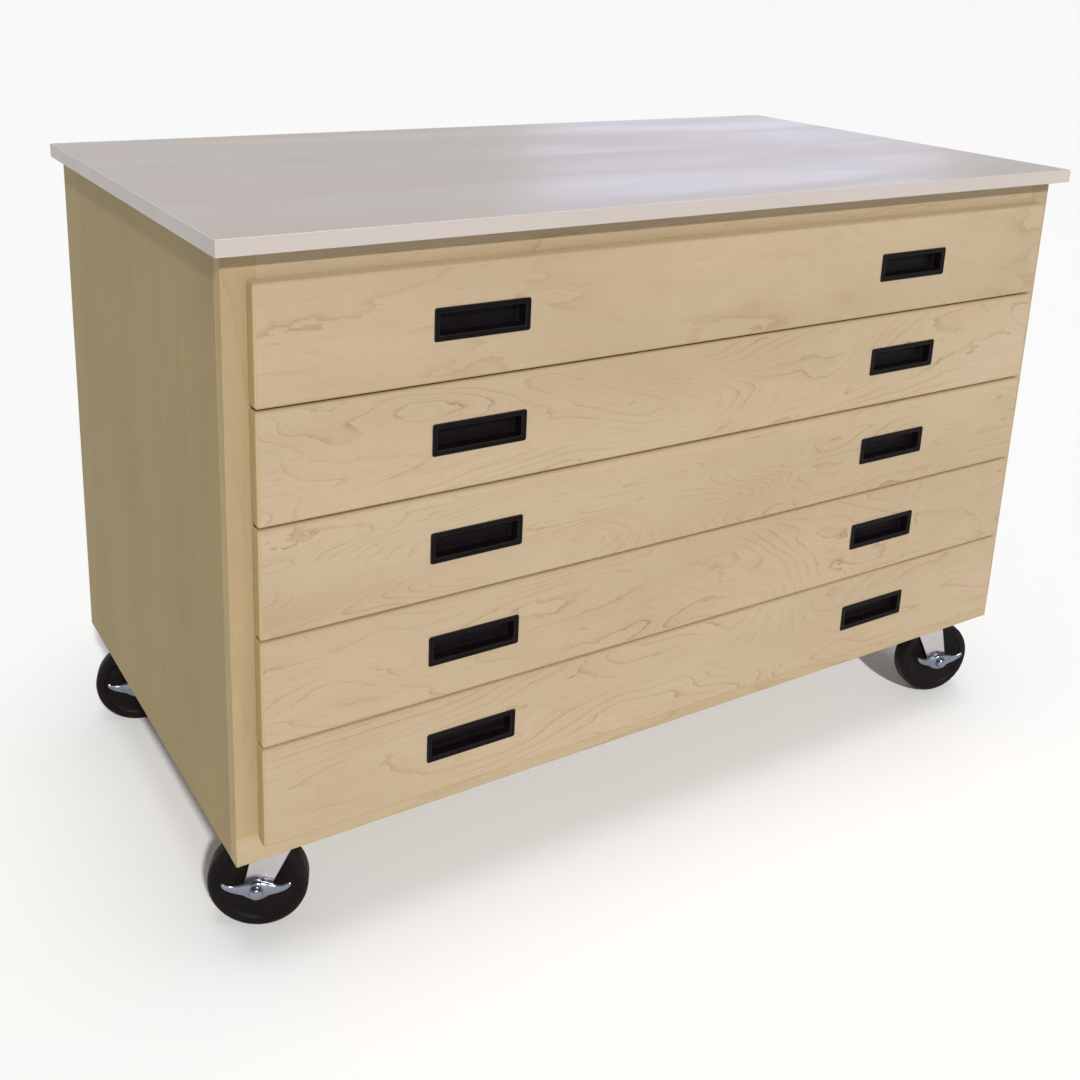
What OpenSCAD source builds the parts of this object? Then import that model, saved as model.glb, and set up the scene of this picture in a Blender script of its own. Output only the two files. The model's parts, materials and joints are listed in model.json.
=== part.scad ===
// Mobile flat file cabinet: a maple carcass with a face frame, five wide shallow
// drawers on ball-bearing slides, a laminate worktop and four swivel casters.
// Millimetres, +Z up, the drawers open towards -Y. The origin is on the floor,
// under the middle of the worktop.

/* [Carcass] */
// Width of the body over its side panels
body_w = 1320; // [1000:1:1700]
// Depth of the body, from the face frame to the back
body_d = 668; // [520:1:820]
// Height of the body, without casters and worktop
body_h = 744; // [600:1:920]
// Thickness of the side panels, bottom panel, face frame and cleats
panel_t = 19; // [15:0.5:25]
// Thickness of the back panel
back_t = 6; // [4:0.5:12]
// Width of each face frame stile
stile_w = 38; // [32:1:60]
// Height of the top and bottom rails
rail_h = 38; // [32:1:60]
// Height of the stretcher at the top of the back
stretcher_h = 80; // [40:1:100]
// Height of the cleats that carry the slides
cleat_h = 60; // [48:1:75]

/* [Worktop] */
// Thickness of the worktop core
core_t = 18.2; // [15:0.1:36]
// Thickness of the laminate
laminate_t = 0.8; // [0.6:0.1:1.5]
// How far the worktop passes each side
overhang_side = 12.7; // [0:0.1:40]
// How far the worktop passes the face frame
overhang_front = 25; // [22:0.5:60]
// How far the worktop passes the back
overhang_back = 19; // [0:0.5:60]

/* [Drawers] */
// Thickness of a drawer front
front_t = 18; // [15:0.5:22]
// Gap between two drawer fronts
front_gap = 3; // [1:0.5:6]
// Frame left showing beside the drawer fronts
side_reveal = 28; // [20:1:36]
// Frame left showing above the top front
top_reveal = 32; // [20:1:36]
// Frame left showing below the bottom front
bottom_reveal = 30; // [20:1:34]
// The top front is taller, and the bottom front shorter, by this much
row_change = 4; // [0:0.5:8]
// Gap between a closed drawer front and the frame
frame_gap = 1; // [0.5:0.5:3]
// Thickness of the drawer box boards
board_t = 12; // [9:0.5:16]
// Height of the drawer box bottom edge above the front's bottom edge
box_lift = 14; // [12:0.5:20]
// Height left free above the drawer box, up to the front's top edge
box_free = 20; // [16:0.5:40]
// Thickness of the drawer bottom
bottom_t = 6; // [4:0.5:9]
// Height of the drawer bottom above the box's lower edge
bottom_lift = 9; // [6:0.5:14]
// Depth of the groove that holds the drawer bottom
groove = 6; // [4:0.5:7]

/* [Slides] */
// Thickness of a closed slide
slide_t = 12.7; // [12.7:0.1:14]
// Height of a slide
slide_h = 45; // [42:0.5:46]
// Thickness of the slide steel
steel_t = 1.2; // [1:0.1:1.5]
// Room for the bearing balls between two slide members
ball_room = 3.6; // [3:0.1:4]
// Clear depth behind the slides
slide_back_gap = 41; // [20:1:80]
// How far the slides are set back from the frame
slide_setback = 2; // [1:0.5:6]

/* [Pulls] */
// Width of a flush pull
pull_w = 128; // [100:1:150]
// Height of a flush pull
pull_h = 40; // [34:1:50]
// From the end of a drawer front to the middle of its pull
pull_inset = 277; // [110:1:330]
// Depth of the finger recess, from the face of the rim
recess_d = 15; // [10:0.5:16]
// Width of the rim over the drawer front
rim_w = 5.5; // [4:0.5:7]
// Thickness of the rim on the drawer front
rim_t = 1.6; // [1:0.1:2.5]
// Wall of the pull's cup
cup_wall = 1.8; // [1.2:0.1:2.5]
// Gap between the cup and the hole in the front
cup_gap = 0.4; // [0.2:0.1:1]
// Corner radius of the rim
rim_r = 3; // [2:0.5:8]

/* [Casters] */
// Height of a caster, from the floor to the body
caster_h = 152.4; // [150:0.1:165]
// Wheel diameter
wheel_d = 127; // [110:1:128]
// Wheel width
wheel_t = 32; // [24:1:38]
// From the swivel axis to the axle
trail = 31; // [24:1:40]
// From the body's side to the swivel axis
caster_inset_x = 83; // [70:1:140]
// From the body's front or back to the swivel axis
caster_inset_y = 66; // [60:1:120]
// Length of a mounting plate
plate_l = 92; // [84:1:104]
// Width of a mounting plate
plate_w = 60; // [56:1:80]
// Thickness of the plate and of the fork's crown
plate_t = 3; // [2.5:0.1:4]
// Thickness of a fork leg
leg_t = 2.5; // [2:0.1:4]
// Axle diameter
axle_d = 12; // [8:0.5:14]
// Diameter of the bolts that hold the plates
bolt_d = 8; // [6:0.5:9]
// Running clearance round the axle and the kingpin
run_gap = 0.06; // [0.02:0.01:0.1]

/* [Hidden] */
$fn = 48;

// Colours
maple = [0.80, 0.71, 0.56];
birch = [0.84, 0.77, 0.64];
laminate = [0.80, 0.77, 0.74];
black = [0.10, 0.09, 0.10];
zinc = [0.72, 0.73, 0.74];
tyre_black = [0.13, 0.13, 0.14];

// Places
half_w = body_w / 2;
worktop_d = body_d + overhang_front + overhang_back;
front_y = overhang_front - worktop_d / 2;
back_y = front_y + body_d;
frame_back_y = front_y + panel_t;
inner_back_y = back_y - back_t;
inner_x = half_w - panel_t;
opening_x = half_w - stile_w;
floor_z = caster_h;
body_top_z = caster_h + body_h;

// Drawer rows, counted from the top
drawers = 5;
row_h = (body_h - top_reveal - bottom_reveal - (drawers - 1) * front_gap) / drawers;
lowest_h = row_h - row_change;
front_w = body_w - 2 * side_reveal;
face_y = front_y - frame_gap - front_t;
function front_h(n) = n == 1 ? row_h + row_change : n == drawers ? lowest_h : row_h;
function front_z(n) = floor_z + bottom_reveal
    + (n == drawers ? 0 : lowest_h + front_gap + (drawers - 1 - n) * (row_h + front_gap));

// Drawer box
box_past_slide = 7;
box_x = opening_x - slide_t;
box_h = lowest_h - box_lift - box_free;
box_front_y = front_y - frame_gap;
slide_l = body_d - slide_setback - panel_t - back_t - slide_back_gap;
slide_front_y = front_y + slide_setback;
box_back_y = slide_front_y + slide_l + box_past_slide;
function box_z(n) = front_z(n) + box_lift;
function slide_z(n) = box_z(n) + box_h / 2;

// Slide sections: each member's height over its flanges, and its depth
middle_h = slide_h - 2 * (steel_t + ball_room);
inner_h = middle_h - 2 * (steel_t + ball_room);
lip_gap = 0.8;
member_d = slide_t - 3;
middle_d = member_d - steel_t - 2 * lip_gap;
inner_d = slide_t - 2 * steel_t - 2 * lip_gap;

// Pull
cup_w = pull_w - 2 * rim_w;
cup_h = pull_h - 2 * rim_w;
cup_r = 2.5;
pull_x = front_w / 2 - pull_inset;

// Casters, with x right, y back and turn, the way that the wheel rolls from +X
function caster_x(side) = side * (half_w - caster_inset_x);
caster_front_y = front_y + caster_inset_y;
caster_back_y = back_y - caster_inset_y;
turn_fl = 153;
turn_fr = -14;
turn_bl = 160;
turn_br = -20;
wheel_r = wheel_d / 2;
plate_z = caster_h - plate_t;
crown_gap = 0.4;
race_h = 6.6;
race_r = 26;
crown_top_z = plate_z - race_h - crown_gap;
crown_z = crown_top_z - plate_t;
fork_gap = 2.5;
leg_y = wheel_t / 2 + fork_gap;
kingpin_r = 6;
kingpin_head_r = 10;
kingpin_head_t = 4;
leg_foot_r = 16.5;
leg_front_x = -24;
leg_back_x = 30;
hub_r = 14;
tread_h = 13;
tread_round = 6;
web_inset = 3;
nut_t = 7;
nut_r = 11;
bolt_head_t = 5.3;
bolt_head_r = 7.5;
bolt_l = panel_t - 4;
hole_dx = plate_l / 2 - 8.5;
hole_dy = plate_w / 2 - 8;
lever_t = 9;
lever_hub_r = 14.5;
lever_reach = 43;
lever_wing_t = 4.5;
lever_gap = 0.3;

// --- shared shapes -----------------------------------------------------------

// A box from its lowest and highest corners
module span(lo, hi) {
    translate(lo) cube(hi - lo);
}

// A flat rectangle with round corners, centred
module round_rect(w, h, r) {
    square([w - 2 * r, h], center = true);
    square([w, h - 2 * r], center = true);
    for (x = [-1, 1], y = [-1, 1]) {
        translate([x * (w / 2 - r), y * (h / 2 - r)]) circle(r);
    }
}

// A flat outline in X and Z, given thickness from y to y + t
module upright(y, t) {
    translate([0, y + t, 0]) rotate([90, 0, 0]) linear_extrude(t) children();
}

// A round bar along Y
module bar_y(r, y, l) {
    translate([0, y, 0]) rotate([-90, 0, 0]) cylinder(r = r, h = l);
}

// --- carcass -----------------------------------------------------------------

module side_panel(side) {
    color(maple)
        translate([side * (half_w - panel_t / 2), (frame_back_y + back_y) / 2, floor_z + body_h / 2])
            cube([panel_t, back_y - frame_back_y, body_h], center = true);
}

module back_panel() {
    color(birch) span([-inner_x, inner_back_y, floor_z], [inner_x, back_y, body_top_z]);
}

module bottom_panel() {
    color(birch) difference() {
        span([-inner_x, frame_back_y, floor_z], [inner_x, inner_back_y, floor_z + panel_t]);
        at_casters() bolt_places() translate([0, 0, floor_z - 1]) cylinder(d = bolt_d + 0.1, h = bolt_l + 1.5);
    }
}

module stiles() {
    color(maple) for (side = [-1, 1]) {
        translate([side * (half_w - stile_w / 2), front_y + panel_t / 2, floor_z + (body_h + rail_h) / 2])
            cube([stile_w, panel_t, body_h - rail_h], center = true);
    }
}

module top_rail() {
    color(maple) span([-opening_x, front_y, body_top_z - rail_h], [opening_x, frame_back_y, body_top_z]);
}

module bottom_rail() {
    color(maple) span([-half_w, front_y, floor_z], [half_w, frame_back_y, floor_z + rail_h]);
}

module rear_stretcher() {
    color(birch)
        span([-inner_x, inner_back_y - panel_t, body_top_z - stretcher_h], [inner_x, inner_back_y, body_top_z]);
}

// Spacers that bring the slides flush with the face frame's opening
module slide_cleats() {
    color(birch) for (n = [1 : drawers], side = [-1, 1]) {
        translate([side * (inner_x + opening_x) / 2, (frame_back_y + inner_back_y - panel_t) / 2, slide_z(n)])
            cube([inner_x - opening_x, inner_back_y - panel_t - frame_back_y, cleat_h], center = true);
    }
}

module worktop_core() {
    color(birch)
        translate([0, 0, body_top_z])
            linear_extrude(core_t)
                square([body_w + 2 * overhang_side - 2 * laminate_t, worktop_d - 2 * laminate_t], center = true);
}

// The top sheet and the four edge strips
module worktop_laminate() {
    color(laminate) difference() {
        translate([0, 0, body_top_z])
            linear_extrude(core_t + laminate_t)
                square([body_w + 2 * overhang_side, worktop_d], center = true);
        translate([0, 0, body_top_z - 1])
            linear_extrude(core_t + 1)
                square([body_w + 2 * overhang_side - 2 * laminate_t, worktop_d - 2 * laminate_t], center = true);
    }
}

// --- drawers -----------------------------------------------------------------

module drawer_front(n) {
    color(maple) upright(face_y, front_t) difference() {
        translate([0, front_z(n) + front_h(n) / 2]) square([front_w, front_h(n)], center = true);
        for (side = [-1, 1]) {
            translate([side * pull_x, front_z(n) + front_h(n) / 2])
                round_rect(cup_w + 2 * cup_gap, cup_h + 2 * cup_gap, cup_r + cup_gap);
        }
    }
}

// Four boards, grooved for the bottom
module drawer_box(n) {
    inside = [box_x - board_t, box_front_y + board_t, box_back_y - board_t];
    color(birch) difference() {
        span([-box_x, box_front_y, box_z(n)], [box_x, box_back_y, box_z(n) + box_h]);
        span([-inside[0], inside[1], box_z(n) - 1], [inside[0], inside[2], box_z(n) + box_h + 1]);
        span(
            [-inside[0] - groove, inside[1] - groove, box_z(n) + bottom_lift],
            [inside[0] + groove, inside[2] + groove, box_z(n) + bottom_lift + bottom_t]
        );
    }
}

module drawer_bottom(n) {
    reach = groove - 0.4;
    x = box_x - board_t + reach;
    color(birch)
        span(
            [-x, box_front_y + board_t - reach, box_z(n) + bottom_lift],
            [x, box_back_y - board_t + reach, box_z(n) + bottom_lift + bottom_t]
        );
}

// Two flush pulls: a thin rim round a finger cup
module drawer_pulls(n) {
    color(black) for (side = [-1, 1]) {
        translate([side * pull_x, 0, front_z(n) + front_h(n) / 2]) flush_pull();
    }
}

module flush_pull() {
    difference() {
        union() {
            upright(face_y - rim_t, rim_t) round_rect(pull_w, pull_h, rim_r);
            upright(face_y - rim_t, recess_d + cup_wall) round_rect(cup_w, cup_h, cup_r);
        }
        upright(face_y - rim_t - 1, recess_d + 1)
            round_rect(cup_w - 2 * cup_wall, cup_h - 2 * cup_wall, cup_r - cup_wall / 2);
    }
}

// --- slides ------------------------------------------------------------------

// A channel that lies along Y, with its web at x = 0 and its lips towards +X
module channel(h, d, y0, y1) {
    translate([0, y0, 0]) difference() {
        translate([0, 0, -h / 2]) cube([d, y1 - y0, h]);
        translate([steel_t, -1, steel_t - h / 2]) cube([d, y1 - y0 + 2, h - 2 * steel_t]);
    }
}

// Places one channel on each side, with its web at x and its lips inwards
module on_both_sides(x, z) {
    for (side = [0, 1]) {
        mirror([side, 0, 0]) translate([x, 0, z]) children();
    }
}

module slide_cabinet_members() {
    color(zinc) for (n = [1 : drawers]) {
        on_both_sides(-opening_x, slide_z(n))
            channel(slide_h, member_d, slide_front_y, slide_front_y + slide_l);
    }
}

module slide_middle(n) {
    color(zinc)
        on_both_sides(-opening_x + steel_t + lip_gap, slide_z(n))
            channel(middle_h, middle_d, slide_front_y + 1, slide_front_y + slide_l - 1);
}

// The drawer's own members, with their webs on the box and their lips outwards
module drawer_slides(n) {
    color(zinc)
        on_both_sides(-box_x, slide_z(n))
            mirror([1, 0, 0]) channel(inner_h, inner_d, slide_front_y, slide_front_y + slide_l);
}

// --- casters -----------------------------------------------------------------

module at_caster(side, y, turn) {
    translate([caster_x(side), y, 0]) rotate([0, 0, turn]) children();
}

// The lever is on the side of the wheel that faces the front of the cabinet
module facing(side) {
    mirror([0, side < 0 ? 1 : 0, 0]) children();
}

module at_casters() {
    for (side = [-1, 1], y = [caster_front_y, caster_back_y]) {
        translate([caster_x(side), y, 0]) children();
    }
}

module bolt_places() {
    for (x = [-1, 1], y = [-1, 1]) {
        translate([x * hole_dx, y * hole_dy, 0]) children();
    }
}

// Plate, ball race and kingpin
module caster_plates() {
    color(zinc) at_casters() {
        difference() {
            translate([0, 0, plate_z]) linear_extrude(plate_t) round_rect(plate_l, plate_w, 6);
            bolt_places() translate([0, 0, plate_z - 1]) cylinder(d = bolt_d + 0.6, h = plate_t + 2);
        }
        translate([0, 0, crown_top_z + crown_gap]) cylinder(r = race_r, h = race_h);
        translate([0, 0, crown_z - crown_gap]) cylinder(r = kingpin_r, h = plate_z - crown_z);
        translate([0, 0, crown_z - crown_gap - kingpin_head_t]) cylinder(r = kingpin_head_r, h = kingpin_head_t);
    }
}

module caster_bolts() {
    color(zinc) at_casters() bolt_places() {
        translate([0, 0, plate_z - bolt_head_t]) cylinder(r = bolt_head_r, h = bolt_head_t, $fn = 6);
        translate([0, 0, plate_z - 0.5]) cylinder(d = bolt_d, h = bolt_l + plate_t);
    }
}

// Outline of a fork leg, from the crown down to the axle
module leg_outline() {
    difference() {
        union() {
            polygon([
                [leg_front_x, crown_top_z], [leg_back_x, crown_top_z],
                [trail + leg_foot_r - 1, wheel_r], [trail - leg_foot_r + 1, wheel_r],
            ]);
            translate([trail, wheel_r]) circle(leg_foot_r);
        }
        translate([trail, wheel_r]) circle(d = axle_d + 0.1);
    }
}

module fork() {
    color(zinc) {
        difference() {
            union() {
                translate([0, 0, crown_z]) cylinder(r = race_r + 2, h = plate_t);
                span([leg_front_x, -leg_y - leg_t, crown_z], [leg_back_x, leg_y + leg_t, crown_top_z]);
            }
            translate([0, 0, crown_z - 1]) cylinder(r = kingpin_r + run_gap, h = plate_t + 2);
        }
        for (y = [-leg_y - leg_t, leg_y]) upright(y, leg_t) leg_outline();
    }
}

// Half of the wheel's section: hub, dished disc and rounded tread
module wheel_section() {
    bore = axle_d / 2 + run_gap;
    translate([bore, -wheel_t / 2 - 1]) square([hub_r - bore, wheel_t + 2]);
    translate([hub_r - 2, web_inset - wheel_t / 2]) square([wheel_r - tread_h - hub_r + 5, wheel_t - 2 * web_inset]);
    translate([wheel_r - tread_h, -wheel_t / 2]) square([tread_h - tread_round, wheel_t]);
    translate([wheel_r - tread_round - 1, tread_round - wheel_t / 2])
        square([tread_round + 1, wheel_t - 2 * tread_round]);
    for (y = [-1, 1]) translate([wheel_r - tread_round, y * (wheel_t / 2 - tread_round)]) circle(tread_round);
}

module wheel() {
    color(tyre_black) translate([trail, 0, wheel_r]) rotate([-90, 0, 0]) rotate_extrude($fn = 96) wheel_section();
}

// Shoulder bolt through the legs, with a nut at each end
module axle() {
    near = leg_y + leg_t;
    lever_room = lever_t + 2 * lever_gap;
    color(zinc) translate([trail, 0, wheel_r]) {
        bar_y(axle_d / 2, -near - lever_room - 1, 2 * near + lever_room + 2);
        translate([0, near + nut_t, 0]) rotate([90, 0, 0]) cylinder(r = nut_r, h = nut_t, $fn = 6);
        translate([0, -near - lever_room, 0]) rotate([90, 0, 0]) cylinder(r = nut_r - 1, h = nut_t, $fn = 6);
    }
}

// One wing of the lever, from the hub out to its upturned tip
module lever_wing(side) {
    polygon([
        [0, 2 - lever_hub_r], [side * 16, -8], [side * 28, -3.5], [side * (lever_reach - 5), 2],
        [side * lever_reach, 10], [side * (lever_reach - 4), 12], [side * 28, 7.5], [side * 15, 10], [0, lever_hub_r - 2],
    ]);
}

// Winged lever on the axle's outer end, which turns to clamp the wheel
module brake_lever() {
    outer = leg_y + leg_t + lever_gap;
    color(zinc) translate([trail, 0, wheel_r]) difference() {
        union() {
            bar_y(lever_hub_r, -outer - lever_t, lever_t);
            for (side = [-1, 1]) {
                upright(-outer - (lever_t + lever_wing_t) / 2, lever_wing_t) lever_wing(side);
            }
        }
        bar_y(axle_d / 2 + run_gap, -outer - lever_t - 1, lever_t + 2);
    }
}

// --- what is drawn -----------------------------------------------------------

side_panel(-1);  // side_panel_left
side_panel(1);  // side_panel_right
back_panel();
bottom_panel();
stiles();
top_rail();
bottom_rail();
rear_stretcher();
slide_cleats();
worktop_core();
worktop_laminate();
slide_cabinet_members();
caster_plates();
caster_bolts();

for (n = [1 : drawers]) {
    drawer_front(n);
    drawer_box(n);
    drawer_bottom(n);
    drawer_pulls(n);
    drawer_slides(n);
    slide_middle(n);
}

for (c = [
    ["fl", -1, caster_front_y, turn_fl],
    ["fr", 1, caster_front_y, turn_fr],
    ["bl", -1, caster_back_y, turn_bl],
    ["br", 1, caster_back_y, turn_br],
]) {
    at_caster(c[1], c[2], c[3]) fork();
    at_caster(c[1], c[2], c[3]) wheel();
    at_caster(c[1], c[2], c[3]) facing(c[1]) axle();
    at_caster(c[1], c[2], c[3]) facing(c[1]) brake_lever();
}
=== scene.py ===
import json
import math

import bmesh
import bpy
from mathutils import Matrix, Vector


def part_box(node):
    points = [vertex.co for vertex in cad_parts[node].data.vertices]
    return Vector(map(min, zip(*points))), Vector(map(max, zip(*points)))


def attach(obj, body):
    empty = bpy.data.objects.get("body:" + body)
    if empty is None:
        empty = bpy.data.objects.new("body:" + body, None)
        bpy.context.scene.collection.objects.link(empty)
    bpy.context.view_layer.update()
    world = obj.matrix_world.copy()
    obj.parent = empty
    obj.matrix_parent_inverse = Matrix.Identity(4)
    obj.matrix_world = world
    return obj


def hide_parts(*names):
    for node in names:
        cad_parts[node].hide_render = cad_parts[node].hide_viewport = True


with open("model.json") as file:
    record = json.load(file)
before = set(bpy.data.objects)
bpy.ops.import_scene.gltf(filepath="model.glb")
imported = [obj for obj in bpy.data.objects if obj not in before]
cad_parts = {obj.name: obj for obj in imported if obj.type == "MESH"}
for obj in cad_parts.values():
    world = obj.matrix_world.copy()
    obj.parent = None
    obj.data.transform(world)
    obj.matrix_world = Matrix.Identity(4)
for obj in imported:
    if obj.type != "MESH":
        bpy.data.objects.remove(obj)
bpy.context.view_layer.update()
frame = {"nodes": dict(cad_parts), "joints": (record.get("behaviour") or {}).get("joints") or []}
MM = 0.001


# --- viewpoint, floor and light ------------------------------------------------
# The cabinet is seen from its left front corner, from a little above the worktop.
# The lens is shifted down a little, as when such a piece is framed for a catalogue.

scene = bpy.context.scene
eye = Vector((-1.0894, -1.5954, 1.1967))
azimuth, elevation, lean = (math.radians(angle) for angle in (-32.12, 16.15, 2.10))
level_reach = math.cos(elevation)
away = Vector((math.sin(azimuth) * level_reach, -math.cos(azimuth) * level_reach, math.sin(elevation)))
level = (-away).cross(Vector((0, 0, 1))).normalized()
upward = level.cross(-away)
right = level * math.cos(lean) + upward * math.sin(lean)
up = upward * math.cos(lean) - level * math.sin(lean)

camera = bpy.data.objects.new("camera", bpy.data.cameras.new("camera"))
camera.data.sensor_width = 36
camera.data.lens = 43.42
camera.data.shift_x = 0.0204
camera.data.shift_y = -0.19
camera.matrix_world = Matrix.LocRotScale(eye, Matrix((right, up, away)).transposed(), None)
scene.collection.objects.link(camera)
scene.camera = camera
scene.view_settings.view_transform = "Standard"


def studio_sun(name, heading, height, power, spread, colour):
    """An even, soft-edged light from one side: heading 0 is the front, and it turns towards +X."""
    lamp = bpy.data.lights.new(name, "SUN")
    lamp.energy = power
    lamp.angle = math.radians(spread)
    lamp.color = colour
    light = bpy.data.objects.new(name, lamp)
    light.rotation_euler = (math.radians(90 - height), 0, math.radians(heading))
    light.location = (0, -2, 3)
    scene.collection.objects.link(light)


studio_sun("key_light", -14, 34, 2.78, 3, (1.0, 0.985, 0.955))
studio_sun("top_light", 10, 85, 0.88, 30, (0.96, 0.975, 1.0))

window_light = bpy.data.objects.new("window_light", bpy.data.lights.new("window_light", "AREA"))
window_light.data.size = 2.6
window_light.data.energy = 32
window_light.data.color = (0.58, 0.62, 1.0)
window_light.location = (4.6, 4.9, 1.8)
window_aim = Vector((-4.2, -4.9, -0.9))
window_light.rotation_euler = window_aim.to_track_quat("-Z", "Y").to_euler()
window_light.visible_camera = False
window_light.visible_diffuse = False
scene.collection.objects.link(window_light)

world = bpy.data.worlds.new("studio_air")
world.use_nodes = True
air = world.node_tree.nodes
air_links = world.node_tree.links
air["Background"].inputs["Color"].default_value = (0.98, 0.99, 1.0, 1)
direction = air.new("ShaderNodeTexCoord")
split = air.new("ShaderNodeSeparateXYZ")
air_links.new(direction.outputs["Generated"], split.inputs["Vector"])
both = air.new("ShaderNodeMath")
both.operation = "MULTIPLY"
air_links.new(both.outputs["Value"], air["Background"].inputs["Strength"])
# Its light is brightest near the horizon, weaker from overhead and from the far left.
for place, axis, (from_low, from_high, to_low, to_high) in (
    (0, "Z", (0.08, 0.45, 1.0, 0.24)),
    (1, "X", (-1.0, 0.05, 0.72, 1.0)),
):
    fade = air.new("ShaderNodeMapRange")
    fade.inputs["From Min"].default_value = from_low
    fade.inputs["From Max"].default_value = from_high
    fade.inputs["To Min"].default_value = to_low
    fade.inputs["To Max"].default_value = to_high
    air_links.new(split.outputs[axis], fade.inputs["Value"])
    air_links.new(fade.outputs["Result"], both.inputs[place])
scene.world = world


class Finish:
    """A surface finish: a shader, with nodes added to it one after another."""

    def __init__(self, name, **sockets):
        self.material = bpy.data.materials.new(name)
        self.material.use_nodes = True
        self.nodes = self.material.node_tree.nodes
        self.links = self.material.node_tree.links
        self.shader = self.nodes["Principled BSDF"]
        for socket, value in sockets.items():
            self.shader.inputs[socket.replace("_", " ")].default_value = value
        self.object_coords = self.nodes.new("ShaderNodeTexCoord").outputs["Object"]

    def feed(self, socket, value):
        """Sets a socket to a value, or joins it to another node's output."""
        if isinstance(value, bpy.types.NodeSocket):
            self.links.new(value, socket)
        else:
            socket.default_value = value

    def node(self, kind, inputs):
        """Adds a node, with each of its inputs set or joined."""
        made = self.nodes.new("ShaderNode" + kind)
        for socket, value in inputs.items():
            self.feed(made.inputs[socket], value)
        return made

    def stretch(self, scale, shift=(0, 0, 0), turn=(0, 0, 0), source=None):
        """The place on the piece, scaled, moved and turned. One number scales all three ways."""
        place = source or self.object_coords
        scales = (scale,) * 3 if isinstance(scale, float) else scale
        inputs = {"Vector": place, "Scale": scales, "Location": shift, "Rotation": turn}
        return self.node("Mapping", inputs).outputs["Vector"]

    def noise(self, place, detail=2.0, rough=0.5, warp=0.0):
        """A cloudy pattern from 0 to 1. Its coarseness comes from how its place is stretched."""
        inputs = {"Vector": place, "Scale": 1.0, "Detail": detail, "Roughness": rough, "Distortion": warp}
        return self.node("TexNoise", inputs).outputs["Fac"]

    def maths(self, operation, a, b=0.0):
        node = self.node("Math", {0: a, 1: b})
        node.operation = operation
        return node.outputs[0]

    def span(self, value, low, high, to_low=0.0, to_high=1.0):
        """Stretches a value from one span to another, and holds it there."""
        inputs = {"Value": value, "From Min": low, "From Max": high, "To Min": to_low, "To Max": to_high}
        return self.node("MapRange", inputs).outputs["Result"]

    def mix(self, share, a, b):
        """Mixes two colours. The sockets go by number, because their names come three times over."""
        a, b = ((*side, 1) if isinstance(side, tuple) else side for side in (a, b))
        node = self.node("Mix", {0: share, 6: a, 7: b})
        node.data_type = "RGBA"
        return node.outputs[2]

    def part(self, place, axis):
        """One of the three parts of a place or direction."""
        return self.node("SeparateXYZ", {0: place}).outputs[axis]

    def edge_wear_and_highlight(self):
        """How close the surface is to the crest of an eased edge, from 0 to 1."""
        node = self.node("Attribute", {})
        node.attribute_name = "edge"
        return node.outputs["Fac"]

    def facing_down(self):
        """How far the surface faces the floor, from -1 for a top to 1 for an underside."""
        normal = self.node("NewGeometry", {}).outputs["Normal"]
        return self.maths("MULTIPLY", self.part(normal, "Z"), -1.0)

    def colour(self, value):
        self.links.new(value, self.shader.inputs["Base Color"])

    def roughness(self, value):
        self.links.new(value, self.shader.inputs["Roughness"])

    def bump(self, height, depth, strength):
        node = self.node("Bump", {"Height": height, "Distance": depth, "Strength": strength})
        self.links.new(node.outputs["Normal"], self.shader.inputs["Normal"])


floor_finish = Finish("pale_floor", Roughness=0.8)
floor_cloud = floor_finish.noise(floor_finish.stretch(0.6), detail=3.0)
floor_finish.colour(floor_finish.mix(floor_cloud, (0.93, 0.93, 0.93), (0.95, 0.95, 0.955)))
floor_mesh = bpy.data.meshes.new("floor")
reach = 400
floor_corners = [(-reach, -reach, 0), (reach, -reach, 0), (reach, reach, 0), (-reach, reach, 0)]
floor_mesh.from_pydata(floor_corners, [], [(0, 1, 2, 3)])
floor_mesh.materials.append(floor_finish.material)
floor = bpy.data.objects.new("floor", floor_mesh)
scene.collection.objects.link(floor)


# --- side panels ---------------------------------------------------------------
# Two 19 mm veneered plywood panels, with the maple's grain upright and the
# plies showing at their back and bottom edges. Every arris is lightly sanded.

QUARTER = math.pi / 2
# Turns that lay the grain along one axis of the piece.
GRAIN_TURNS = {"X": (0, 0, 0), "Y": (0, 0, -QUARTER), "Z": (0, QUARTER, 0)}


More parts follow.
